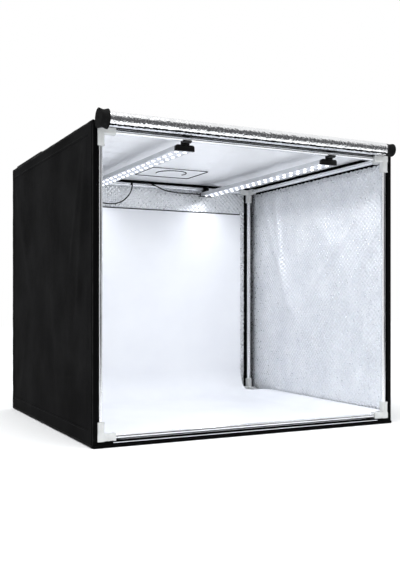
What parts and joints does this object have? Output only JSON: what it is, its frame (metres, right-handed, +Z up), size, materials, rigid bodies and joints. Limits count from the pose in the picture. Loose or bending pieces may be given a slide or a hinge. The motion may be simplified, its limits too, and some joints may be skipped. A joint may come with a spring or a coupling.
{
  "type": "light tent",
  "caption": "Folding photo light tent: tube frame in a black cloth box with a reflective lining, rolled-up front door, sweep backdrop, sliding lamp bars and roof lens flap",
  "frame": {"origin": "the middle of the base's underside, on the surface that the tent stands on", "axes": "+X to the right seen from the open front, +Y to the rear, +Z up"},
  "size_m": [0.9035, 0.8625, 0.8051],
  "materials": {
    "cover": "black woven nylon, matte with a slight sheen",
    "lining": "silver embossed reflective film",
    "binding": "black webbing with a slight gloss",
    "tube": "satin drawn tube",
    "connector": "light grey moulded",
    "hook_strip": "black hook and loop strip",
    "backdrop": "white matte sheet",
    "lamp_channel": "pale anodised",
    "lamp_board": "white board with lit diodes",
    "lamp_plastic": "black moulded",
    "inlet_plastic": "black moulded",
    "rubber": "black, smooth"
  },
  "bodies": {
    "tent": {"cover_base": "cover", "cover_left": "cover", "cover_right": "cover", "cover_rear": "cover", "cover_roof": "cover", "lining_floor": "lining", "lining_left": "lining", "lining_right": "lining", "lining_rear": "lining", "lining_roof": "lining", "seam_tape_top_left": "binding", "seam_tape_top_right": "binding", "seam_tape_top_rear": "binding", "seam_tape_rear_left": "binding", "seam_tape_rear_right": "binding", "front_binding": "binding", "post_front_left": "tube", "post_front_right": "tube", "post_rear_left": "tube", "post_rear_right": "tube", "bottom_tube_front": "tube", "bottom_tube_rear": "tube", "bottom_tube_left": "tube", "bottom_tube_right": "tube", "top_tube_front": "tube", "top_tube_rear": "tube", "top_tube_left": "tube", "top_tube_right": "tube", "connector_bottom_front_left": "connector", "connector_bottom_front_right": "connector", "connector_bottom_rear_left": "connector", "connector_bottom_rear_right": "connector", "connector_top_front_left": "connector", "connector_top_front_right": "connector", "connector_top_rear_left": "connector", "connector_top_rear_right": "connector", "door_roll": "lining", "door_end_left": "hook_strip", "door_end_right": "hook_strip", "backdrop": "backdrop", "backdrop_hook_strip": "hook_strip", "lead_left": "rubber", "lead_right": "rubber", "cable_grommet": "rubber", "power_inlet": "inlet_plastic"},
    "left_lamp": {"lamp_left_channel": "lamp_channel", "lamp_left_board": "lamp_board", "lamp_left_end_cap_front": "lamp_plastic", "lamp_left_end_cap_rear": "lamp_plastic", "lamp_left_clip_front": "lamp_plastic", "lamp_left_clip_rear": "lamp_plastic"},
    "right_lamp": {"lamp_right_channel": "lamp_channel", "lamp_right_board": "lamp_board", "lamp_right_end_cap_front": "lamp_plastic", "lamp_right_end_cap_rear": "lamp_plastic", "lamp_right_clip_front": "lamp_plastic", "lamp_right_clip_rear": "lamp_plastic"},
    "hatch": {"ceiling_hatch": "lining"},
    "lens_flap": {"roof_flap": "cover"}
  },
  "joints": [
    {"name": "left_lamp_slide", "type": "slide", "parent": "tent", "child": "left_lamp", "axis": [-1, 0, 0], "range_m": [-0.085, 0.175]},
    {"name": "right_lamp_slide", "type": "slide", "parent": "tent", "child": "right_lamp", "axis": [1, 0, 0], "range_m": [-0.09, 0.13]},
    {"name": "hatch_hinge", "type": "hinge", "parent": "tent", "child": "hatch", "pos_m": [0.02, 0.2675, 0.7774], "axis": [1, 0, 0], "range_deg": [0, 90]},
    {"name": "roof_flap_hinge", "type": "hinge", "parent": "tent", "child": "lens_flap", "pos_m": [-0.4535, 0.2, 0.7853], "axis": [0, -1, 0], "range_deg": [0, 265]}
  ]
}
